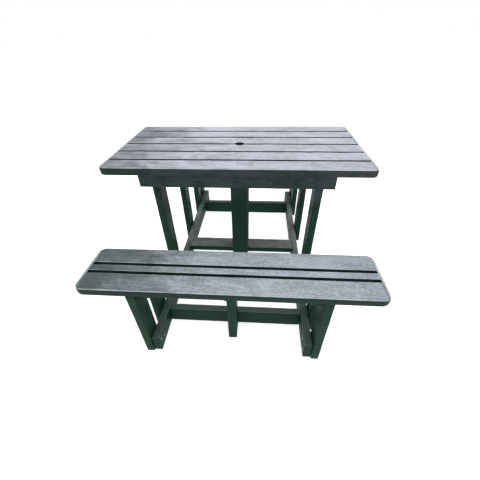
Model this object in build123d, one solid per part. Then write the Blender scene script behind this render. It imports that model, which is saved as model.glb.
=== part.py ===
from build123d import *
import os

# Picnic table of recycled-plastic boards: a slatted top and two slatted benches on one frame.
# Millimetres, +Z up. X runs along the boards, Y from bench to bench, origin on the floor at the centre.

# Driving dimensions: heights and lengths
table_height = 750.0
seat_height = 438.0
top_length = 1256.0
seat_length = 1254.0
frame_width = 840.0          # over the outer faces of the posts
apron_overhang = 42.0        # apron's end beyond the posts' outer faces

# Boards
board_thickness = 38.0
slat_width = 100.0
slat_gap = 15.0
slat_count = 6
seat_gap = 15.0
seat_batten_width = 38.0     # the narrow middle slat of a bench
frame_board_width = 95.0     # posts, side beams, cross rails
bearer_height = 72.0         # aprons and the bearers under the slats
centre_post_width = 100.0
centre_plank_width = 100.0
centre_leg_thickness = 44.0
end_strip_thickness = 15.0
trim_allowance = 10.0         # extra length of an end strip before its corners are rounded

# Places
seat_clearance = 186.0       # level distance from the top's edge to the bench's inner edge
table_post_setback = 73.0    # top's long edge to the table post's outer face
bench_post_inset = 3.0       # bench's long edge to the post's face
beam_setback = 8.0           # outermost post face to the side beam's end
joint_strip_width = 32.0     # room for screws between the inner bench post's edge and the rail
bearer_end_setback = 30.0    # bench's long edge to the bearer's end
bearer_bevel_run = 32.0
bearer_bevel_rise = 36.0
umbrella_hole_diameter = 50.0

# Edges
top_corner_radius = 32.0
seat_corner_radius = 36.0
perimeter_round = 5.0        # rounded rim of the top and of each bench
board_round = 3.0            # long edges of an extruded board
cut_end_round = 1.2          # sawn ends

# Fasteners
post_screw_diameter = 7.0
post_screw_head_diameter = 13.0
post_screw_head_height = 2.8
joint_edge_distance = 27.5   # screw axis to the post's edge in a pair of screws
joint_height_high = 68.0
joint_height_low = 42.0
inner_joint_height_low = 26.0
joint_rise = 5.0             # seat joint above its bearer's middle
screw_diameter = 6.0
screw_head_diameter = 12.0
screw_head_height = 4.0
screw_clearance = 0.2
screw_bite = 26.0            # length of thread in the second board
apron_screw_spread = 12.0    # half distance between the two screws at the apron's middle
counterbore_diameter = 16.0
counterbore_depth = 40.0
strip_screw_diameter = 4.5
strip_screw_head_diameter = 9.0
strip_screw_head_height = 3.0
strip_screw_bite = 40.0

# Worked-out sizes
apron_length = frame_width + 2 * apron_overhang
joint_spread = frame_board_width / 2 - joint_edge_distance
top_depth = slat_count * slat_width + (slat_count - 1) * slat_gap
seat_depth = 2 * slat_width + seat_batten_width + 2 * seat_gap
top_underside = table_height - board_thickness
seat_underside = seat_height - board_thickness
post_outer_x = frame_width / 2
post_inner_x = post_outer_x - board_thickness
beam_inner_x = post_inner_x - board_thickness
beam_centre_x = (post_inner_x + beam_inner_x) / 2
seat_inner_y = top_depth / 2 + seat_clearance
seat_outer_y = seat_inner_y + seat_depth
seat_centre_y = (seat_inner_y + seat_outer_y) / 2
table_post_face_y = top_depth / 2 - table_post_setback
table_post_y = table_post_face_y - frame_board_width / 2
outer_post_y = seat_outer_y - bench_post_inset - frame_board_width / 2
inner_post_y = seat_inner_y + bench_post_inset + frame_board_width / 2
beam_half_length = seat_outer_y - bench_post_inset - beam_setback
rail_inner_y = inner_post_y - frame_board_width / 2 + joint_strip_width
rail_outer_y = rail_inner_y + board_thickness
rail_y = (rail_outer_y + rail_inner_y) / 2
plank_underside = frame_board_width - board_thickness
centre_post_y = centre_plank_width / 2 + board_thickness / 2
centre_post_face_y = centre_plank_width / 2 + board_thickness
top_bearer_z = top_underside - bearer_height / 2
seat_bearer_underside = seat_underside - bearer_height
seat_joint_z = seat_underside - bearer_height / 2 + joint_rise
umbrella_radius = umbrella_hole_diameter / 2
side_names = {-1: "left", 1: "right"}
bench_names = {-1: "front", 1: "rear"}

nodes = {}
holes = {}


def box_at(low, high):
    """A box between two corners."""
    size = [b - a for a, b in zip(low, high)]
    middle = [(a + b) / 2 for a, b in zip(low, high)]
    return Pos(*middle) * Box(*size)


def board(low, high, along):
    """A board with rounded long edges and lightly eased sawn ends."""
    blank = box_at(low, high)
    blank = fillet(blank.edges().filter_by(along), board_round)
    ends = blank.faces().sort_by(along)
    return fillet(ends[0].edges() + ends[-1].edges(), cut_end_round)


def bar(diameter, start, length, axis):
    """A round bar that starts at a point and runs along +X, -X, +Y, -Y, +Z or -Z."""
    plane = Plane(origin=start, z_dir=axis)
    return extrude(plane * Circle(diameter / 2), length)


def drill(name, tool):
    """Keep a hole's tool for a board, to be cut when the node is written."""
    holes.setdefault(name, []).append(tool)


# ---- Slatted panels -------------------------------------------------------------------------


def panel_envelope(length, depth, centre_y, surface_z, corner_radius):
    """The outer shape of a slatted panel: round corners and a round rim."""
    outline = Pos(0, centre_y) * RectangleRounded(length, depth, corner_radius)
    blank = Pos(0, 0, surface_z - board_thickness) * extrude(outline, board_thickness)
    rims = blank.edges().group_by(Axis.Z)
    return fillet(rims[0] + rims[-1], perimeter_round)


def slat(length, low_y, high_y, surface_z):
    """One slat between the two end strips of its panel."""
    half = length / 2 - end_strip_thickness
    low = (-half, low_y, surface_z - board_thickness)
    return board(low, (half, high_y, surface_z), Axis.X)


def end_strip(side, length, low_y, high_y, surface_z):
    """The strip that closes the slats' ends, over size outwards until it is trimmed."""
    xs = sorted([side * (length / 2 + trim_allowance), side * (length / 2 - end_strip_thickness)])
    low = (xs[0], low_y - trim_allowance, surface_z - board_thickness)
    return box_at(low, (xs[1], high_y + trim_allowance, surface_z))


def screw_strip(side, length, strip_name, slat_name, y, surface_z):
    """A countersunk screw through an end strip into a slat's end."""
    outer = (side * length / 2, y, surface_z - board_thickness / 2)
    head = bar(strip_screw_head_diameter, outer, strip_screw_head_height, (-side, 0, 0))
    shank_length = end_strip_thickness + strip_screw_bite
    shank = bar(strip_screw_diameter, outer, shank_length, (-side, 0, 0))
    wide = strip_screw_diameter + 2 * screw_clearance
    sink = strip_screw_head_diameter + 2 * screw_clearance
    drill(strip_name, bar(sink, outer, strip_screw_head_height, (-side, 0, 0)))
    drill(strip_name, bar(wide, outer, shank_length, (-side, 0, 0)))
    drill(slat_name, bar(wide, outer, shank_length, (-side, 0, 0)))
    return head + shank


def add_panel(prefix, length, rows, surface_z, corner_radius):
    """Slats given as (name, low y, high y), their end strips and the strips' screws."""
    low_y = min(row[1] for row in rows)
    high_y = max(row[2] for row in rows)
    envelope = panel_envelope(length, high_y - low_y, (low_y + high_y) / 2, surface_z, corner_radius)
    for name, slat_low, slat_high in rows:
        nodes[name] = slat(length, slat_low, slat_high, surface_z) & envelope
    screws = []
    for side, word in side_names.items():
        strip_name = f"{prefix}_end_strip_{word}"
        nodes[strip_name] = end_strip(side, length, low_y, high_y, surface_z) & envelope
        for name, slat_low, slat_high in rows:
            middle = (slat_low + slat_high) / 2
            screws.append(screw_strip(side, length, strip_name, name, middle, surface_z))
    return screws


def top_rows():
    rows = []
    for i in range(slat_count):
        low = -top_depth / 2 + i * (slat_width + slat_gap)
        rows.append((f"top_slat_{i + 1}", low, low + slat_width))
    return rows


def seat_rows(bench):
    """Outer slat, narrow middle batten and inner slat of one bench."""
    widths = [("inner_slat", slat_width), ("middle_batten", seat_batten_width), ("outer_slat", slat_width)]
    rows = []
    reach = seat_inner_y
    for word, width in widths:
        ys = sorted([bench * reach, bench * (reach + width)])
        rows.append((f"{bench_names[bench]}_seat_{word}", ys[0], ys[1]))
        reach += width + seat_gap
    return rows


# ---- Frame ------------------------------------------------------------------------------------


def upright(side, centre_y, top_z):
    """A post on edge against the outer face of a side beam, from the floor up."""
    xs = sorted([side * post_outer_x, side * post_inner_x])
    half = frame_board_width / 2
    return board((xs[0], centre_y - half, 0), (xs[1], centre_y + half, top_z), Axis.Z)


def add_posts():
    for side, side_word in side_names.items():
        for bench, bench_word in bench_names.items():
            nodes[f"table_post_{bench_word}_{side_word}"] = upright(
                side, bench * table_post_y, top_underside)
            nodes[f"bench_post_{bench_word}_outer_{side_word}"] = upright(
                side, bench * outer_post_y, seat_underside)
            nodes[f"bench_post_{bench_word}_inner_{side_word}"] = upright(
                side, bench * inner_post_y, seat_underside)


def add_base():
    for side, side_word in side_names.items():
        xs = sorted([side * post_inner_x, side * beam_inner_x])
        nodes[f"side_beam_{side_word}"] = board(
            (xs[0], -beam_half_length, 0), (xs[1], beam_half_length, frame_board_width), Axis.Y)
    for bench, bench_word in bench_names.items():
        ys = sorted([bench * rail_inner_y, bench * rail_outer_y])
        nodes[f"cross_rail_{bench_word}"] = board(
            (-beam_inner_x, ys[0], 0), (beam_inner_x, ys[1], frame_board_width), Axis.X)
    half = centre_plank_width / 2
    nodes["centre_plank"] = board(
        (-beam_inner_x, -half, plank_underside), (beam_inner_x, half, frame_board_width), Axis.X)


def add_centre_supports():
    """The wide posts each side of the umbrella pole and the leg under each bench's middle."""
    half = centre_post_width / 2
    thin = centre_leg_thickness / 2
    for bench, bench_word in bench_names.items():
        ys = sorted([bench * centre_plank_width / 2, bench * centre_post_face_y])
        nodes[f"centre_post_{bench_word}"] = board((-half, ys[0], 0), (half, ys[1], top_underside), Axis.Z)
        ys = sorted([bench * rail_outer_y, bench * (rail_outer_y + frame_board_width)])
        nodes[f"bench_centre_leg_{bench_word}"] = board(
            (-thin, ys[0], 0), (thin, ys[1], seat_bearer_underside), Axis.Z)


def add_top_supports():
    low_z = top_underside - bearer_height
    for side, side_word in side_names.items():
        xs = sorted([side * post_inner_x, side * beam_inner_x])
        nodes[f"top_bearer_{side_word}"] = board(
            (xs[0], -table_post_face_y, low_z), (xs[1], table_post_face_y, top_underside), Axis.Y)
    half = board_thickness / 2
    for bench, bench_word in bench_names.items():
        ys = sorted([bench * centre_post_face_y, bench * table_post_face_y])
        nodes[f"top_bearer_centre_{bench_word}"] = board(
            (-half, ys[0], low_z), (half, ys[1], top_underside), Axis.Y)
        ys = sorted([bench * table_post_face_y, bench * (table_post_face_y + board_thickness)])
        nodes[f"apron_{bench_word}"] = board(
            (-apron_length / 2, ys[0], low_z), (apron_length / 2, ys[1], top_underside), Axis.X)


def seat_bearer(centre_x, bench):
    """A bearer across a bench, with its lower corners sawn off at a slope."""
    half = seat_depth / 2 - bearer_end_setback
    low_z = seat_bearer_underside
    blank = board(
        (centre_x - board_thickness / 2, bench * seat_centre_y - half, low_z),
        (centre_x + board_thickness / 2, bench * seat_centre_y + half, seat_underside), Axis.Y)
    for end in (-1, 1):
        tip_y = bench * seat_centre_y + end * half
        profile = Polyline(
            (tip_y, low_z + bearer_bevel_rise),
            (tip_y - end * bearer_bevel_run, low_z),
            (tip_y + end * bearer_bevel_run, low_z - bearer_bevel_rise),
            (tip_y + end * bearer_bevel_run, low_z + bearer_bevel_rise),
            close=True)
        face = Plane.YZ * make_face(profile)
        blank -= Pos(centre_x - board_thickness, 0, 0) * extrude(face, 2 * board_thickness)
    return blank


def add_seat_bearers():
    for bench, bench_word in bench_names.items():
        for x, word in ((-beam_centre_x, "left"), (0, "centre"), (beam_centre_x, "right")):
            nodes[f"seat_bearer_{bench_word}_{word}"] = seat_bearer(x, bench)


# ---- Fasteners --------------------------------------------------------------------------------


def post_joints():
    """Screws through a beam or bearer into the post outside it: (board, post, side, y, z)."""
    rows = []
    for side, side_word in side_names.items():
        beam = f"side_beam_{side_word}"
        for bench, bench_word in bench_names.items():
            table_post = f"table_post_{bench_word}_{side_word}"
            outer_post = f"bench_post_{bench_word}_outer_{side_word}"
            inner_post = f"bench_post_{bench_word}_inner_{side_word}"
            seat_bearer_name = f"seat_bearer_{bench_word}_{side_word}"
            for lean in (-1, 1):
                z = joint_height_high if lean == side else joint_height_low
                step = lean * joint_spread
                rows.append((beam, table_post, side, bench * table_post_y + step, z))
                rows.append((beam, outer_post, side, bench * outer_post_y + step, z))
                rows.append((f"top_bearer_{side_word}", table_post, side,
                             bench * table_post_y + step, top_bearer_z))
            beside_rail_y = (rail_inner_y + inner_post_y - frame_board_width / 2) / 2
            for z in (joint_height_high, inner_joint_height_low):
                rows.append((beam, inner_post, side, bench * beside_rail_y, z))
            for post, y in ((outer_post, outer_post_y), (inner_post, inner_post_y)):
                rows.append((seat_bearer_name, post, side, bench * y, seat_joint_z))
    return rows


def post_screw(board_name, post, side, y, z):
    """A dome-headed structural screw driven outwards from a beam's inner face."""
    start = (side * beam_inner_x, y, z)
    outward, inward = (side, 0, 0), (-side, 0, 0)
    rise = post_screw_head_height
    dome_radius = (rise ** 2 + (post_screw_head_diameter / 2) ** 2) / (2 * rise)
    dome = Plane(origin=start, z_dir=inward) * Pos(0, 0, rise - dome_radius) * Sphere(dome_radius)
    head = dome & bar(post_screw_head_diameter + 2 * rise, start, rise, inward)
    length = board_thickness + screw_bite
    wide = post_screw_diameter + 2 * screw_clearance
    drill(board_name, bar(wide, start, board_thickness, outward))
    drill(post, bar(wide, (side * post_inner_x, y, z), screw_bite, outward))
    return head + bar(post_screw_diameter, start, length, outward)


def screw(first, second, start, axis, recess, thickness):
    """A flat-headed screw whose head sits in a counterbore of the first board."""
    def along(distance):
        return tuple(s + a * distance for s, a in zip(start, axis))
    head = bar(screw_head_diameter, along(recess), screw_head_height, axis)
    length = thickness - recess + screw_bite
    shank = bar(screw_diameter, along(recess), length, axis)
    wide = screw_diameter + 2 * screw_clearance
    seat = recess + screw_head_height
    drill(first, bar(screw_head_diameter + 2 * screw_clearance, start, seat, axis))
    drill(first, bar(wide, start, thickness, axis))
    drill(second, bar(wide, along(thickness), screw_bite, axis))
    return head + shank


def bearer_screw(bearer, slat_name, x, y, low_z):
    """A screw driven up through a bearer into a slat, from a deep counterbore."""
    recess = counterbore_depth - screw_head_height
    drill(bearer, bar(counterbore_diameter, (x, y, low_z), recess, (0, 0, 1)))
    return screw(bearer, slat_name, (x, y, low_z), (0, 0, 1), recess, bearer_height)


def slat_screws():
    screws = []
    top_low_z = top_underside - bearer_height
    for name, low, high in top_rows():
        middle = (low + high) / 2
        reach = table_post_face_y - screw_head_diameter
        y = max(-reach, min(reach, middle))
        for side, side_word in side_names.items():
            screws.append(bearer_screw(f"top_bearer_{side_word}", name, side * beam_centre_x, y, top_low_z))
        if abs(y) > centre_post_face_y + screw_head_diameter:
            word = bench_names[1 if y > 0 else -1]
            screws.append(bearer_screw(f"top_bearer_centre_{word}", name, 0, y, top_low_z))
    for bench, bench_word in bench_names.items():
        for name, low, high in seat_rows(bench):
            middle = (low + high) / 2
            inward = bench * seat_centre_y - middle
            step = joint_spread + board_thickness / 4 if abs(inward) > seat_batten_width else 0
            y = middle + (step if inward > 0 else -step)
            for x, word in ((-beam_centre_x, "left"), (0, "centre"), (beam_centre_x, "right")):
                bearer = f"seat_bearer_{bench_word}_{word}"
                screws.append(bearer_screw(bearer, name, x, y, seat_bearer_underside))
    return screws


def frame_screws():
    """Screws of the rails, the centre plank, the aprons, the centre posts and the centre legs."""
    screws = []
    third = frame_board_width / 3
    for side, side_word in side_names.items():
        beam = f"side_beam_{side_word}"
        outer_x = side * post_inner_x
        for bench, bench_word in bench_names.items():
            for z in (third, 2 * third):
                screws.append(screw(beam, f"cross_rail_{bench_word}", (outer_x, bench * rail_y, z),
                                    (-side, 0, 0), 0, board_thickness))
            plank_z = frame_board_width - board_thickness / 2
            screws.append(screw(beam, "centre_plank", (outer_x, bench * centre_plank_width / 4, plank_z),
                                (-side, 0, 0), 0, board_thickness))
    for bench, bench_word in bench_names.items():
        apron_face = bench * (table_post_face_y + board_thickness)
        post_centre_x = (post_outer_x + post_inner_x) / 2
        screw_rise = bearer_height / 4
        anchors = [(side * post_centre_x, top_bearer_z + lift, f"table_post_{bench_word}_{word}")
                   for side, word in side_names.items() for lift in (-screw_rise, screw_rise)]
        centre_bearer = f"top_bearer_centre_{bench_word}"
        anchors += [(side * apron_screw_spread, top_bearer_z + screw_rise, centre_bearer)
                    for side in side_names]
        for x, z, anchor in anchors:
            screws.append(screw(f"apron_{bench_word}", anchor, (x, apron_face, z),
                                (0, -bench, 0), 0, board_thickness))
        post = f"centre_post_{bench_word}"
        for x in (-centre_post_width / 4, centre_post_width / 4):
            plank_z = frame_board_width - board_thickness / 2
            screws.append(screw(post, "centre_plank", (x, bench * centre_post_face_y, plank_z),
                                (0, -bench, 0), 0, board_thickness))
        screws.append(screw(post, f"top_bearer_centre_{bench_word}",
                            (0, bench * centre_plank_width / 2, top_bearer_z),
                            (0, bench, 0), 0, board_thickness))
        leg = f"bench_centre_leg_{bench_word}"
        for z in (third, 2 * third):
            screws.append(screw(f"cross_rail_{bench_word}", leg, (0, bench * rail_inner_y, z),
                                (0, bench, 0), 0, board_thickness))
    return screws


# ---- Assembly ---------------------------------------------------------------------------------

strip_screws = add_panel("top", top_length, top_rows(), table_height, top_corner_radius)
for bench, bench_word in bench_names.items():
    strip_screws += add_panel(
        f"{bench_word}_seat", seat_length, seat_rows(bench), seat_height, seat_corner_radius)
add_posts()
add_base()
add_centre_supports()
add_top_supports()
add_seat_bearers()
nodes["post_screws"] = [post_screw(*joint) for joint in post_joints()]
nodes["slat_screws"] = slat_screws()
nodes["frame_screws"] = frame_screws()
nodes["end_strip_screws"] = strip_screws

umbrella_bore = Cylinder(umbrella_radius, 2 * table_height)
for name in [row[0] for row in top_rows()] + ["centre_plank"]:
    drill(name, umbrella_bore)

os.makedirs("parts", exist_ok=True)
for name, shape in nodes.items():
    if isinstance(shape, list):
        export_step(Compound(children=[piece.solid() for piece in shape]), f"parts/{name}.step")
        continue
    for tool in holes.get(name, []):
        shape = shape - tool
    export_step(shape.solid(), f"parts/{name}.step")
print(len(nodes), "nodes")
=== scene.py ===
# Picnic table of recycled-plastic boards: weathered boards with painted sky reflection, highlights
# and shade, screws, light and camera.
import math

import bmesh
import bpy
from mathutils import Matrix, Vector


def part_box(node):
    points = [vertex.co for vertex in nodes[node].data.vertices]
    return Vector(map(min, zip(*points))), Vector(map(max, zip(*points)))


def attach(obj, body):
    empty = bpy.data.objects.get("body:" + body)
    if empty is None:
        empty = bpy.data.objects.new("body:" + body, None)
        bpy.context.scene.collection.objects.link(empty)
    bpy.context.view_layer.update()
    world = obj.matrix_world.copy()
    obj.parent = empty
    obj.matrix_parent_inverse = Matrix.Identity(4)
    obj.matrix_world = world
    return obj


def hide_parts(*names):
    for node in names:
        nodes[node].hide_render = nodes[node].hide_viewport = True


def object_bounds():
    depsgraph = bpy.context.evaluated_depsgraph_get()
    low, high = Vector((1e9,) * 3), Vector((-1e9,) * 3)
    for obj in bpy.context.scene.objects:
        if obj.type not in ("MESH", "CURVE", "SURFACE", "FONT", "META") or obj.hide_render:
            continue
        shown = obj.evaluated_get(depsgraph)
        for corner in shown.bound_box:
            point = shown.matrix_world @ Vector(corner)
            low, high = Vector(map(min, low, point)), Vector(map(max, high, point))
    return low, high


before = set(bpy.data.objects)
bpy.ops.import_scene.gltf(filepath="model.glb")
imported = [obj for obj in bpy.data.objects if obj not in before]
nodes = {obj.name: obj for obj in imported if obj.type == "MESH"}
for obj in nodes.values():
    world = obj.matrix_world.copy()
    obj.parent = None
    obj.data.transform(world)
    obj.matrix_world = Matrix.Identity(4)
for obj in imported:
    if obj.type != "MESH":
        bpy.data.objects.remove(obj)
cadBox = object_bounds()
print("frame loaded:", len(nodes), "nodes")


# small helpers for modelling

tolerance = {
    "parallel": 0.99,   # share of an edge's length that lies along the axis
    "level": 1e-5,      # metres between points in one plane
}


def clearSelection():
    if bpy.context.object and bpy.context.object.mode != "OBJECT":
        bpy.ops.object.mode_set(mode="OBJECT")
    bpy.ops.object.select_all(action="DESELECT")


def selectOnly(piece):
    clearSelection()
    piece.select_set(True)
    bpy.context.view_layer.objects.active = piece


def editMesh(piece):
    # edit mode with nothing selected
    selectOnly(piece)
    bpy.ops.object.mode_set(mode="EDIT")
    bpy.ops.mesh.select_all(action="DESELECT")


def selectEdges(piece, wanted):
    mesh = bmesh.from_edit_mesh(piece.data)
    bpy.ops.mesh.select_mode(type="EDGE")
    bpy.ops.mesh.select_all(action="DESELECT")
    for edge in mesh.edges:
        if wanted(edge):
            edge.select_set(True)
    bmesh.update_edit_mesh(piece.data)


def selectPoints(piece, wanted):
    mesh = bmesh.from_edit_mesh(piece.data)
    bpy.ops.mesh.select_mode(type="VERT")
    bpy.ops.mesh.select_all(action="DESELECT")
    for point in mesh.verts:
        if wanted(point.co):
            point.select_set(True)
    mesh.select_flush(True)
    bmesh.update_edit_mesh(piece.data)


def runsAlong(edge, axis):
    line = edge.verts[1].co - edge.verts[0].co
    return abs(line[axis]) > tolerance["parallel"] * line.length


def addBlock(name, low, high):
    clearSelection()
    bpy.ops.mesh.primitive_cube_add(size=1, location=(low + high) / 2)
    block = bpy.context.object
    block.name = name
    bpy.ops.transform.resize(value=high - low)
    bpy.ops.object.transform_apply(location=True, rotation=True, scale=True)
    return block


def applyModifier(piece, kind, **settings):
    selectOnly(piece)
    modifier = piece.modifiers.new(kind.lower(), kind)
    for key, value in settings.items():
        setattr(modifier, key, value)
    bpy.ops.object.modifier_apply(modifier=modifier.name)


def cutWith(piece, cutter, operation):
    applyModifier(piece, "BOOLEAN", object=cutter, operation=operation, solver="EXACT")


# boards, in metres

boardShape = {
    "edgeRadius": 0.0036,    # rolled long edge of an extruded board
    "edgeSegments": 3,
    "sawnEdge": 0.0012,
    "sawnSegments": 2,
    "stationSpacing": 0.03,
    "fewestStations": 2,
    "shortestRun": 0.02,     # a shorter edge isn't divided into stations
    "wideFace": 0.06,        # a wider face gets the wide cuts along it
    "wideCuts": 3,
    "narrowCuts": 1,
    "sink": 0.985,           # the middle of a wide face shrinks as the board cools
    "sinkReach": 0.27,       # share of the face's width, each way from its middle
    "smoothAngle": 38,
}
bearerShape = {"slopeRun": 0.032, "slopeRise": 0.036}
surfaceWear = {
    "waveDepth": 0.0011,
    "waveSize": 0.11,
    "waveContrast": 1.4,
    "dentDepth": 0.0007,
    "dentSize": 0.018,
    "dentContrast": 3.0,
    "layers": 2,
}


def camelName(node):
    words = node.split("_")
    return words[0] + "".join(word.capitalize() for word in words[1:])


def longAxis(low, high):
    size = high - low
    return max(range(3), key=lambda axis: size[axis])


def cutStations(piece, size, axis):
    # cross cuts along the board, then cuts along its wide and narrow faces
    count = max(boardShape["fewestStations"], round(size[axis] / boardShape["stationSpacing"]))
    selectEdges(piece, lambda edge: runsAlong(edge, axis)
                and edge.calc_length() > boardShape["shortestRun"])
    bpy.ops.mesh.subdivide(number_cuts=count)
    for across in range(3):
        if across == axis:
            continue
        wide = size[across] > boardShape["wideFace"]
        cuts = boardShape["wideCuts"] if wide else boardShape["narrowCuts"]
        normal = Vector([1.0 if k == across else 0.0 for k in range(3)])
        for i in range(cuts):
            place = Vector((0, 0, 0))
            place[across] = size[across] * ((i + 1) / (cuts + 1) - 0.5)
            bpy.ops.mesh.select_all(action="SELECT")
            bpy.ops.mesh.bisect(plane_co=place, plane_no=normal)


def slopeCorners(size):
    # a seat bearer's lower corners are sawn off at a slope
    run, rise = bearerShape["slopeRun"], bearerShape["slopeRise"]
    for outward in (-1, 1):
        bpy.ops.mesh.select_all(action="SELECT")
        bpy.ops.mesh.bisect(
            plane_co=(0, outward * size.y / 2, rise - size.z / 2),
            plane_no=Vector((0, outward * rise, -run)).normalized(),
            use_fill=True, clear_outer=True)


def sinkFaces(piece, size, axis):
    # wide faces are drawn in a little between their edges
    thin = min(range(3), key=lambda k: size[k])
    wide = 3 - axis - thin
    reach = boardShape["sinkReach"] * size[wide]
    selectPoints(piece, lambda co: abs(co[wide]) < reach)
    squeeze = [1.0, 1.0, 1.0]
    squeeze[thin] = boardShape["sink"]
    bpy.ops.transform.resize(value=squeeze, center_override=(0, 0, 0))


def makeBlank(size, axis, sloped):
    # a board about the origin, to be copied to every place that has its size
    blank = addBlock("boardBlank", -size / 2, size / 2)
    editMesh(blank)
    selectEdges(blank, lambda edge: runsAlong(edge, axis))
    bpy.ops.mesh.bevel(offset=boardShape["edgeRadius"], segments=boardShape["edgeSegments"],
                       affect="EDGES")
    ends = (-size[axis] / 2, size[axis] / 2)
    selectEdges(blank, lambda edge: any(
        all(abs(point.co[axis] - end) < tolerance["level"] for point in edge.verts)
        for end in ends))
    bpy.ops.mesh.bevel(offset=boardShape["sawnEdge"], segments=boardShape["sawnSegments"],
                       affect="EDGES")
    cutStations(blank, size, axis)
    if sloped:
        slopeCorners(size)
    sinkFaces(blank, size, axis)
    bpy.ops.object.mode_set(mode="OBJECT")
    return blank


blanks = {}


def placeBoard(node):
    low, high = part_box(node)
    size, axis = high - low, longAxis(low, high)
    sloped = node.startswith("seat_bearer")
    kind = (axis, sloped, *[round(side, 5) for side in size])
    if kind not in blanks:
        blanks[kind] = makeBlank(size, axis, sloped)
    selectOnly(blanks[kind])
    bpy.ops.object.duplicate()
    piece = bpy.context.object
    piece.name = camelName(node)
    bpy.ops.transform.translate(value=(low + high) / 2)
    bpy.ops.object.transform_apply(location=True, rotation=False, scale=False)
    return piece


def cloudTexture(name, size, contrast):
    texture = bpy.data.textures.new(name, "CLOUDS")
    texture.noise_scale = size
    texture.noise_depth = surfaceWear["layers"]
    texture.contrast = contrast
    return texture


boardWave = cloudTexture("boardWave", surfaceWear["waveSize"], surfaceWear["waveContrast"])
boardDent = cloudTexture("boardDent", surfaceWear["dentSize"], surfaceWear["dentContrast"])


def weatherSurface(piece):
    # both run inwards, so a board outgrows its own box by no more than about 0.1 mm
    for texture, depth in ((boardWave, "waveDepth"), (boardDent, "dentDepth")):
        applyModifier(piece, "DISPLACE", texture=texture, texture_coords="LOCAL",
                      strength=surfaceWear[depth], mid_level=1.0)
    selectOnly(piece)
    bpy.ops.object.shade_smooth_by_angle(angle=math.radians(boardShape["smoothAngle"]))


def finishPiece(piece, node, material):
    piece.data.materials.clear()
    piece.data.materials.append(material)
    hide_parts(node)
    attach(piece, "root")


# slatted panels, in metres

panelShape = {
    "topCorner": 0.032,
    "seatCorner": 0.036,
    "cornerSegments": 10,
    "rimRadius": 0.006,
    "rimSegments": 3,
    "holedSlats": ("top_slat_3", "top_slat_4"),
    "holeRadius": 0.025,
    "holeSides": 48,
    "boreLength": 2.2,       # times the table's height, so it passes the low plank too
}


def jointBox(names):
    boxes = [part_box(name) for name in names]
    low = Vector([min(box[0][k] for box in boxes) for k in range(3)])
    high = Vector([max(box[1][k] for box in boxes) for k in range(3)])
    return low, high


def panelOutline(names, corner):
    # what a whole panel is routed to: round corners and a rolled rim
    outline = addBlock("panelOutline", *jointBox(names))
    editMesh(outline)
    selectEdges(outline, lambda edge: runsAlong(edge, 2))
    bpy.ops.mesh.bevel(offset=corner, segments=panelShape["cornerSegments"], affect="EDGES")
    selectEdges(outline, lambda edge:
                abs(edge.verts[0].co.z - edge.verts[1].co.z) < tolerance["level"])
    bpy.ops.mesh.bevel(offset=panelShape["rimRadius"], segments=panelShape["rimSegments"],
                       affect="EDGES")
    bpy.ops.object.mode_set(mode="OBJECT")
    return outline


def umbrellaBore():
    surface = jointBox(panelShape["holedSlats"])[1].z
    clearSelection()
    bpy.ops.mesh.primitive_cylinder_add(
        vertices=panelShape["holeSides"], radius=panelShape["holeRadius"],
        depth=surface * panelShape["boreLength"], location=(0, 0, 0))
    return bpy.context.object


def makePanel(names, corner, materials, bore):
    outline = panelOutline(names, corner)
    low, high = jointBox(names)
    for node in names:
        piece = placeBoard(node)
        boxLow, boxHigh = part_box(node)
        if boxLow.y - low.y < corner or high.y - boxHigh.y < corner:
            cutWith(piece, outline, "INTERSECT")
        if node in panelShape["holedSlats"]:
            cutWith(piece, bore, "DIFFERENCE")
        weatherSurface(piece)
        finishPiece(piece, node, materials[longAxis(boxLow, boxHigh)])
    bpy.data.objects.remove(outline)


# small helpers for materials

def newMaterial(name):
    material = bpy.data.materials.new(name)
    material.use_nodes = True
    tree = material.node_tree
    return material, tree, tree.nodes["Principled BSDF"]


def addNode(tree, kind, **settings):
    made = tree.nodes.new(kind)
    for key, value in settings.items():
        setattr(made, key, value)
    return made


def feed(tree, socket, value):
    if isinstance(value, bpy.types.NodeSocket):
        tree.links.new(value, socket)
    else:
        socket.default_value = value


def calc(tree, operation, first, second=0.0, clamp=False):
    made = addNode(tree, "ShaderNodeMath", operation=operation, use_clamp=clamp)
    feed(tree, made.inputs[0], first)
    feed(tree, made.inputs[1], second)
    return made.outputs[0]


def times(tree, first, second):
    return calc(tree, "MULTIPLY", first, second)


def weightedSum(tree, shares):
    total = times(tree, *shares[0])
    for pattern, share in shares[1:]:
        total = calc(tree, "ADD", total, times(tree, pattern, share))
    return total


def remap(tree, value, fromLow, fromHigh, toLow=0.0, toHigh=1.0, smooth=True):
    made = addNode(tree, "ShaderNodeMapRange",
                   interpolation_type="SMOOTHSTEP" if smooth else "LINEAR")
    feed(tree, made.inputs["Value"], value)
    made.inputs["From Min"].default_value = fromLow
    made.inputs["From Max"].default_value = fromHigh
    made.inputs["To Min"].default_value = toLow
    made.inputs["To Max"].default_value = toHigh
    return made.outputs["Result"]


def blendColour(tree, share, first, second):
    made = addNode(tree, "ShaderNodeMix", data_type="RGBA")
    feed(tree, made.inputs["Factor"], share)
    feed(tree, made.inputs[6], first)      # inputs 6 and 7 and output 2 are its colour sockets
    feed(tree, made.inputs[7], second)
    return made.outputs[2]


def separate(tree, vector):
    made = addNode(tree, "ShaderNodeSeparateXYZ")
    tree.links.new(vector, made.inputs[0])
    return made.outputs


def noise(tree, vector, scale, detail, roughness, distortion=0.0):
    made = addNode(tree, "ShaderNodeTexNoise")
    tree.links.new(vector, made.inputs["Vector"])
    made.inputs["Scale"].default_value = scale
    made.inputs["Detail"].default_value = detail
    made.inputs["Roughness"].default_value = roughness
    made.inputs["Distortion"].default_value = distortion
    return made.outputs["Fac"]


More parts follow.
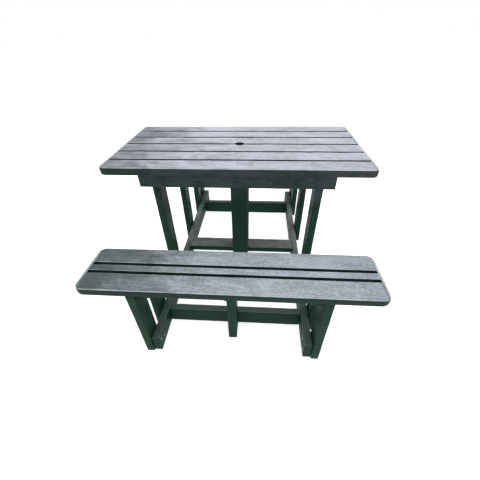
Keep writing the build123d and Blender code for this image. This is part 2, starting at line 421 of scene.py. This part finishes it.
def boardNoise(tree, place, axis, stretch, **settings):
    # noise that is drawn out along the board
    scale = [1.0, 1.0, 1.0]
    scale[axis] = 1.0 / stretch
    made = addNode(tree, "ShaderNodeMapping")
    tree.links.new(place, made.inputs["Vector"])
    made.inputs["Scale"].default_value = scale
    return noise(tree, made.outputs["Vector"], **settings)


noiseSpan = (0.3, 0.7)       # most of a noise pattern lies in this span


def finishSurface(tree, shader, colour, pattern, finish, height):
    # colour, roughness that follows a pattern, and relief
    tree.links.new(colour, shader.inputs["Base Color"])
    rough = remap(tree, pattern, *noiseSpan, *finish["roughness"])
    tree.links.new(rough, shader.inputs["Roughness"])
    bump = addNode(tree, "ShaderNodeBump")
    bump.inputs["Strength"].default_value = finish["reliefStrength"]
    bump.inputs["Distance"].default_value = finish["reliefDepth"]
    tree.links.new(height, bump.inputs["Height"])
    tree.links.new(bump.outputs["Normal"], shader.inputs["Normal"])


# weathered plastic with painted sky reflection, painted edge highlights and painted shade: what
# differs between top, benches and frame

topFinish = {
    "deep": (0.011, 0.025, 0.020, 1),      # the plastic's own dark green, in its darker drifts
    "fresh": (0.015, 0.027, 0.024, 1),
    "dusty": (0.038, 0.047, 0.051, 1),     # painted reflection: sides turn lilac grey away from the left end
    "freshLow": (0.015, 0.027, 0.024, 1),  # the same, used nearer the floor; the frame's is greener and darker there
    "dustyLow": (0.036, 0.045, 0.048, 1),
    "chalk": (0.40, 0.415, 0.475, 1),      # lilac grey on upward faces, part sun bleaching and part painted sky reflection
    "chalkShade": (0.19, 0.20, 0.23, 1),
    # painted shade: the greener colour of upward faces where the benches hang over them
    "chalkSheltered": (0.078, 0.129, 0.114, 1),
    "shelter": 0.0,                        # painted shade: how far upward faces turn the greener shaded colour where the benches hang over them
    "bleachLeft": 0.48,                    # painted sky reflection: how much of the lilac grey each end keeps beside the middle
    "bleachRight": 0.96,
    "bleachFrom": -0.64,
    "bleachTo": -0.12,
    "patchLow": 0.37,
    "patchHigh": 0.61,
    "mottleScale": 75.0,
    "mottleShare": 0.34,
    "cloudShare": 0.36,
    "streakShare": 0.22,
    "grainShare": 0.10,
    # pale colour of the painted highlight on rolled edges, also used for real scuffs
    "wornEdge": (0.46, 0.50, 0.53, 1),
    "edgeShare": 0.80,
    "endWear": 0.0,                        # painted highlight: a pale line along a panel's two ends
    "roughness": (0.36, 0.58),
    "reliefStrength": 0.4,
    "reliefDepth": 0.0012,
    "specular": 0.07,
}
topStripFinish = dict(topFinish, wornEdge=(0.68, 0.74, 0.74, 1), endWear=0.80)
seatFinish = dict(
    topFinish, chalk=(0.385, 0.42, 0.475, 1), chalkShade=(0.18, 0.21, 0.225, 1),
    fresh=(0.0075, 0.021, 0.013, 1), freshLow=(0.0075, 0.021, 0.013, 1),
    dusty=(0.011, 0.030, 0.027, 1), dustyLow=(0.011, 0.030, 0.027, 1),
    bleachLeft=0.25, bleachRight=0.86, bleachTo=0.06, patchLow=0.41, patchHigh=0.60,
    mottleScale=105.0, mottleShare=0.38, cloudShare=0.20, streakShare=0.16, grainShare=0.26,
    edgeShare=0.95)
seatStripFinish = dict(
    seatFinish, chalk=(0.45, 0.49, 0.53, 1), wornEdge=(0.58, 0.64, 0.64, 1),
    bleachLeft=0.32, bleachRight=1.0, endWear=0.60)
frameFinish = dict(
    topFinish, deep=(0.006, 0.019, 0.014, 1), fresh=(0.012, 0.023, 0.021, 1),
    dusty=(0.043, 0.056, 0.060, 1), freshLow=(0.008, 0.037, 0.021, 1),
    dustyLow=(0.009, 0.038, 0.023, 1), chalk=(0.195, 0.215, 0.217, 1),
    chalkShade=(0.100, 0.118, 0.117, 1), bleachLeft=0.65, shelter=0.80, edgeShare=0.20,
    roughness=(0.40, 0.62))

# the patterns in every board
grain = {
    "cloud": {"stretch": 1.8, "scale": 11.0, "detail": 5.0, "roughness": 0.62, "distortion": 0.6},
    "streak": {"stretch": 8.0, "scale": 90.0, "detail": 4.0, "roughness": 0.6},
    "mottle": {"stretch": 1.5, "detail": 6.0, "roughness": 0.7, "distortion": 0.3},
    "scuff": {"stretch": 1.6, "scale": 34.0, "detail": 8.0, "roughness": 0.7, "distortion": 1.2},
    "speckle": {"scale": 300.0, "detail": 2.0, "roughness": 0.6},
    "streakRelief": 0.3,
    "mottleRelief": 1.0,
}

# where weather, use, painted reflection, painted highlights and painted shade show on every board;
# a pair runs from no effect to full effect
wearAndPaintedLight = {
    "upward": (0.25, 0.85),       # upward part of a face's direction
    "drift": 0.7,                 # metres that the clouds shift the edge of the painted reflection
    "rightEnd": (0.28, 0.62),     # metres to the right of the middle
    "overhang": (0.34, 0.52),     # metres to the front or rear of the middle, where the painted shade under the benches grows
    "sunHeight": (0.43, 0.64),    # metres above the floor
    "leastGreen": 0.3,
    "leastChalk": 0.15,
    "tilted": (0.30, 0.55),       # a rolled edge faces upwards in part
    "notLevel": (0.99, 0.90),
    "rubCloud": (0.35, 0.60),
    "leastRub": 0.35,
    "panelEnd": (0.0115, 0.0065),  # metres in from the end
    "scuffed": (0.63, 0.70),
    "flecked": (0.42, 0.60),
    "scuffOnSide": 0.03,
    "scuffOnTop": 0.40,
}
pore = {
    "scale": 210.0,
    "edgeToMiddle": (0.42, 0.18),
    "endOn": (0.85, 0.97),        # part of a face's direction that lies along the board
    "darkness": 0.7,
}


def chalkAndSheenColour(tree, finish, spot, upward, cloud, patch):
    # tops turn lilac grey, part sun bleaching and part painted sky reflection, and sides turn
    # lilac grey as a painted reflection, in drifting patches, both less at the left end
    drifted = calc(tree, "ADD", spot["X"], times(tree, cloud, wearAndPaintedLight["drift"]))
    halfDrift = wearAndPaintedLight["drift"] / 2
    reach = remap(tree, drifted, finish["bleachFrom"] + halfDrift, finish["bleachTo"] + halfDrift)
    # mixes each colour's near-floor value with its upper value by height
    raised = remap(tree, spot["Z"], *wearAndPaintedLight["sunHeight"])
    # painted reflection: sides go from the plastic's green to lilac grey away from the left end
    green = blendColour(tree, reach,
                        blendColour(tree, raised, finish["freshLow"], finish["fresh"]),
                        blendColour(tree, raised, finish["dustyLow"], finish["dusty"]))
    green = blendColour(tree, remap(tree, patch, 0.0, 1.0, wearAndPaintedLight["leastGreen"], 1.0),
                        finish["deep"], green)

    # upward faces' lilac grey: part sun bleaching, part painted sky reflection
    chalk = blendColour(tree, remap(tree, patch, 0.0, 1.0, wearAndPaintedLight["leastChalk"], 1.0),
                        finish["chalkShade"], finish["chalk"])
    # painted shade: upward faces under the benches' overhang turn greener
    seatShade = remap(tree, calc(tree, "ABSOLUTE", spot["Y"]), *wearAndPaintedLight["overhang"],
                     0.0, finish["shelter"])
    chalk = blendColour(tree, seatShade, chalk, finish["chalkSheltered"])
    # painted sky reflection: the lilac grey is weaker at the left end and a little weaker at the
    # far right
    lilacShare = times(tree, remap(tree, reach, 0.0, 1.0, finish["bleachLeft"], 1.0, smooth=False),
                   remap(tree, spot["X"], *wearAndPaintedLight["rightEnd"], 1.0, finish["bleachRight"]))
    return blendColour(tree, times(tree, upward, lilacShare), green, chalk)


def highlightAndScuffShare(tree, finish, spot, facing, upward, cloud, scuff, speckle):
    # painted highlights on rolled edges and panel ends, and scuffs and flecks that show pale
    # plastic in the same colour
    tilted = remap(tree, facing["Z"], *wearAndPaintedLight["tilted"])
    rolled = times(tree, tilted, remap(tree, facing["Z"], *wearAndPaintedLight["notLevel"]))
    # painted highlight along rolled edges, varied by the clouds
    edgeHighlight = times(tree, rolled,
                   remap(tree, cloud, *wearAndPaintedLight["rubCloud"], wearAndPaintedLight["leastRub"], 1.0))
    if finish["endWear"]:
        band = [cadBox[1][0] - inset for inset in wearAndPaintedLight["panelEnd"]]
        atEnd = times(tree, remap(tree, calc(tree, "ABSOLUTE", spot["X"]), *band), tilted)
        edgeHighlight = calc(tree, "MAXIMUM", edgeHighlight, times(tree, atEnd, finish["endWear"]))
    scuffed = times(tree, remap(tree, scuff, *wearAndPaintedLight["scuffed"]),
                    remap(tree, speckle, *wearAndPaintedLight["flecked"]))
    scuffShare = remap(tree, upward, 0.0, 1.0, wearAndPaintedLight["scuffOnSide"], wearAndPaintedLight["scuffOnTop"])
    return calc(tree, "ADD", times(tree, edgeHighlight, finish["edgeShare"]),
                times(tree, scuffed, scuffShare), clamp=True)


def sawnPores(tree, place, facing, axis):
    # sawn ends show the foamed core as fine dark pores
    sawn = remap(tree, calc(tree, "ABSOLUTE", facing["XYZ"[axis]]), *pore["endOn"])
    cells = addNode(tree, "ShaderNodeTexVoronoi")
    tree.links.new(place, cells.inputs["Vector"])
    cells.inputs["Scale"].default_value = pore["scale"]
    return times(tree, sawn, remap(tree, cells.outputs["Distance"], *pore["edgeToMiddle"]))


def boardMaterial(name, axis, finish):
    material, tree, shader = newMaterial(name)
    place = addNode(tree, "ShaderNodeTexCoord").outputs["Object"]
    spot = separate(tree, place)
    facing = separate(tree, addNode(tree, "ShaderNodeNewGeometry").outputs["Normal"])
    upward = remap(tree, facing["Z"], *wearAndPaintedLight["upward"])

    cloud = boardNoise(tree, place, axis, **grain["cloud"])
    streak = boardNoise(tree, place, axis, **grain["streak"])
    mottle = boardNoise(tree, place, axis, scale=finish["mottleScale"], **grain["mottle"])
    scuff = boardNoise(tree, place, axis, **grain["scuff"])
    speckle = noise(tree, place, **grain["speckle"])
    patch = weightedSum(tree, [(mottle, finish["mottleShare"]), (cloud, finish["cloudShare"]),
                               (streak, finish["streakShare"]), (speckle, finish["grainShare"])])
    patch = remap(tree, patch, finish["patchLow"], finish["patchHigh"])

    colour = chalkAndSheenColour(tree, finish, spot, upward, cloud, patch)
    highlightAndScuffs = highlightAndScuffShare(tree, finish, spot, facing, upward, cloud, scuff, speckle)
    # painted highlight on rolled edges and panel ends, plus real scuffs
    colour = blendColour(tree, highlightAndScuffs, colour, finish["wornEdge"])
    pores = sawnPores(tree, place, facing, axis)
    colour = blendColour(tree, times(tree, pores, pore["darkness"]), colour, finish["deep"])

    height = weightedSum(tree, [(streak, grain["streakRelief"]), (mottle, grain["mottleRelief"])])
    height = calc(tree, "SUBTRACT", height, pores)
    finishSurface(tree, shader, colour, mottle, finish, height)
    shader.inputs["Specular IOR Level"].default_value = finish["specular"]
    return material


# screws

zincFinish = {
    "colour": (0.40, 0.41, 0.41, 1),
    "tarnish": (0.20, 0.21, 0.21, 1),     # dull grey bloom on old zinc
    "bloom": {"scale": 420.0, "detail": 4.0, "roughness": 0.6},
    "bloomFrom": 0.42,
    "bloomTo": 0.64,
    "roughness": (0.36, 0.60),
    "metallic": 0.9,
    "reliefStrength": 0.3,
    "reliefDepth": 0.0003,
}
screwFinish = dict(
    zincFinish, colour=(0.024, 0.038, 0.034, 1),
    tarnish=(0.060, 0.074, 0.070, 1),     # coating worn thin by the driver
    bloom={"scale": 520.0, "detail": 4.0, "roughness": 0.6}, roughness=(0.34, 0.58))


def metalMaterial(name, finish):
    material, tree, shader = newMaterial(name)
    place = addNode(tree, "ShaderNodeTexCoord").outputs["Object"]
    bloom = noise(tree, place, **finish["bloom"])
    tarnished = remap(tree, bloom, finish["bloomFrom"], finish["bloomTo"])
    colour = blendColour(tree, tarnished, finish["colour"], finish["tarnish"])
    finishSurface(tree, shader, colour, bloom, finish, bloom)
    shader.inputs["Metallic"].default_value = finish["metallic"]
    return material


# panels are listed by the axis that a board runs along: slats along x, then end strips along y
topMaterials = [boardMaterial("topSlats", 0, topFinish),
                boardMaterial("topStrips", 1, topStripFinish)]
seatMaterials = [boardMaterial("seatSlats", 0, seatFinish),
                 boardMaterial("seatStrips", 1, seatStripFinish)]
frameMaterials = [boardMaterial("frameBoards" + "XYZ"[axis], axis, frameFinish)
                  for axis in range(3)]
zinc = metalMaterial("zincPlate", zincFinish)
coated = metalMaterial("coatedScrew", screwFinish)
print("materials made")


# build the pieces

fasteners = {
    "post_screws": zinc, "slat_screws": coated, "frame_screws": coated, "end_strip_screws": coated,
}
topNodes = sorted(name for name in nodes if name.startswith(("top_slat", "top_end_strip")))
frontSeatNodes = sorted(name for name in nodes if name.startswith("front_seat_"))
rearSeatNodes = sorted(name for name in nodes if name.startswith("rear_seat_"))
frameNodes = sorted(
    set(nodes) - set(fasteners) - set(topNodes) - set(frontSeatNodes) - set(rearSeatNodes))

bore = umbrellaBore()
makePanel(topNodes, panelShape["topCorner"], topMaterials, bore)
makePanel(frontSeatNodes, panelShape["seatCorner"], seatMaterials, bore)
makePanel(rearSeatNodes, panelShape["seatCorner"], seatMaterials, bore)
print("panels made")

for node in frameNodes:
    piece = placeBoard(node)
    if node == "centre_plank":
        cutWith(piece, bore, "DIFFERENCE")
    weatherSurface(piece)
    finishPiece(piece, node, frameMaterials[longAxis(*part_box(node))])
for spare in [bore, *blanks.values()]:
    bpy.data.objects.remove(spare)
print("frame boards made;", len(blanks), "sizes of board in all")

for node, material in fasteners.items():
    for slot in nodes[node].material_slots:
        slot.material = material
print("fasteners finished")


# floor, light and camera

studio = {
    "floorSize": 60,
    "floorColour": (0.70, 0.70, 0.70, 1),
    "floorRoughness": 0.9,
    "glowColour": (1, 1, 1, 1),
    "floorGlow": 0.80,
    "worldColour": (1.0, 1.0, 1.0, 1),
    "worldStrength": 1.0,
    "keyPower": 50.0,
    "keySize": 3.0,
    "keyPlace": (0.6, 0.7, 3.2),
}


def buildStudio():
    clearSelection()
    bpy.ops.mesh.primitive_plane_add(size=studio["floorSize"], location=(0, 0, 0))
    floor = bpy.context.object
    floor.name = "floor"
    material, _, shader = newMaterial("paleFloor")
    shader.inputs["Base Color"].default_value = studio["floorColour"]
    shader.inputs["Roughness"].default_value = studio["floorRoughness"]
    shader.inputs["Specular IOR Level"].default_value = 0.0
    shader.inputs["Emission Color"].default_value = studio["glowColour"]
    shader.inputs["Emission Strength"].default_value = studio["floorGlow"]
    floor.data.materials.append(material)

    world = bpy.context.scene.world or bpy.data.worlds.new("studioWorld")
    bpy.context.scene.world = world
    world.use_nodes = True
    backdrop = world.node_tree.nodes["Background"]
    backdrop.inputs["Color"].default_value = studio["worldColour"]
    backdrop.inputs["Strength"].default_value = studio["worldStrength"]

    bpy.ops.object.light_add(type="AREA", location=studio["keyPlace"])
    key = bpy.context.object
    key.name = "softKey"
    key.data.shape = "DISK"
    key.data.size = studio["keySize"]
    key.data.energy = studio["keyPower"]
    key.rotation_euler = Vector(studio["keyPlace"]).to_track_quat("Z", "Y").to_euler()
    bpy.context.scene.view_settings.view_transform = "Standard"


cameraSetup = {
    "place": (0.1090, -1.4872, 1.2182),
    "lookDown": 40.65,
    "turnLeft": 4.74,
    "roll": -1.325,
    "sensorWidth": 36,
    "lens": 20.30,
    "shiftX": 0.0012,
    "shiftY": 0.0411,
    "clipStart": 0.01,
}


def placeCamera():
    clearSelection()
    bpy.ops.object.camera_add(location=cameraSetup["place"])
    camera = bpy.context.object
    turn = Matrix.Rotation(math.radians(cameraSetup["turnLeft"]), 4, "Z")
    tilt = Matrix.Rotation(math.radians(90 - cameraSetup["lookDown"]), 4, "X")
    roll = Matrix.Rotation(math.radians(cameraSetup["roll"]), 4, "Z")
    camera.rotation_euler = (turn @ tilt @ roll).to_euler()
    camera.data.sensor_width = cameraSetup["sensorWidth"]
    camera.data.lens = cameraSetup["lens"]
    camera.data.shift_x = cameraSetup["shiftX"]
    camera.data.shift_y = cameraSetup["shiftY"]
    camera.data.clip_start = cameraSetup["clipStart"]
    bpy.context.scene.camera = camera


buildStudio()
placeCamera()
print("floor, light and camera placed")
